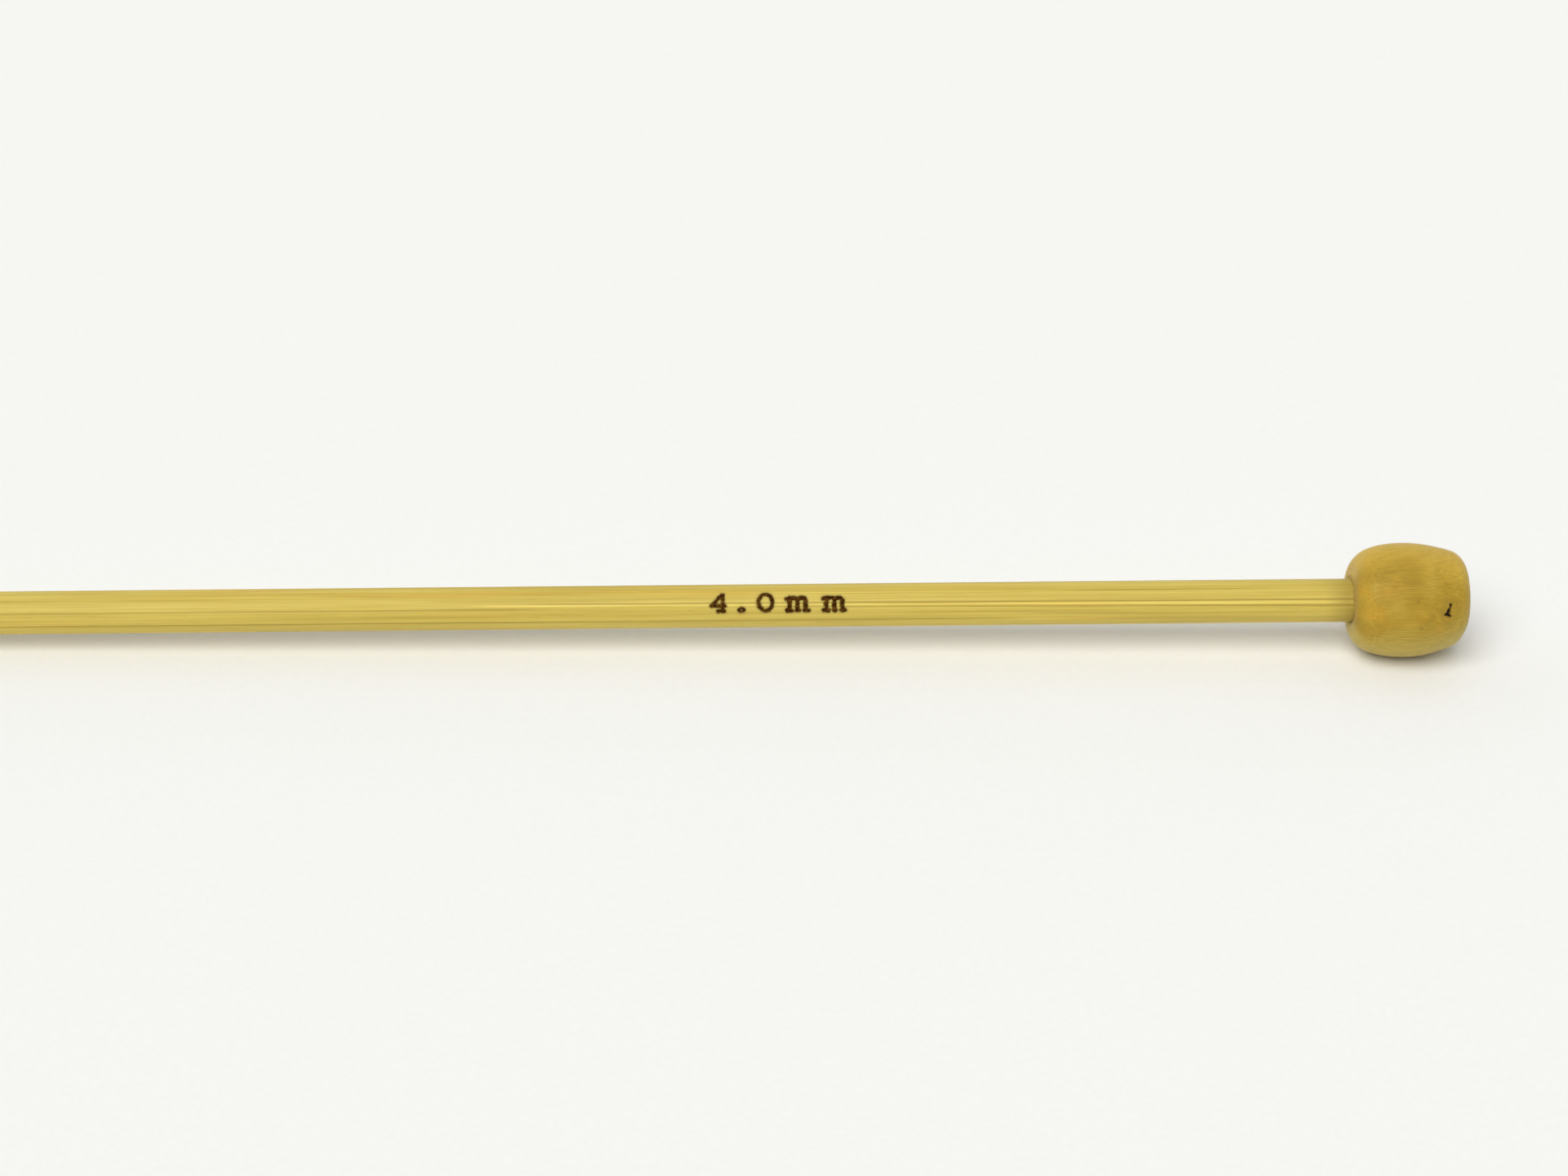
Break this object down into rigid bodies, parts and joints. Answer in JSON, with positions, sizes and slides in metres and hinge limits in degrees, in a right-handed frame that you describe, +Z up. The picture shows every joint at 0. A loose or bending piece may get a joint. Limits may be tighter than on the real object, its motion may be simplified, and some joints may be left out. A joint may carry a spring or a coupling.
{
  "type": "straight knitting needle",
  "caption": "Single-pointed bamboo knitting needle: a straight round shaft with a tapered point and a turned wooden bead glued on as its stitch stop.",
  "frame": {"origin": "on the needle's axis, in the plane of the bead's stop face, where the last stitch rests", "axes": "+X along the needle from the point to the bead; +Z up as the needle lies on a table; the burnt size mark faces -Y and up"},
  "size_m": [0.25, 0.0106, 0.0106],
  "materials": {
    "bamboo": "polished bamboo with a thin satin wax, straight fibres along the shaft and a burnt size mark",
    "bead_wood": "turned fine-grained wood, satin, with grain along the needle and one pin knot",
    "glue": "cured wood glue, translucent amber darkened by dust"
  },
  "bodies": {
    "root": {"needle_shaft": "bamboo", "end_bead": "bead_wood", "glue_bond": "glue"}
  },
  "joints": []
}
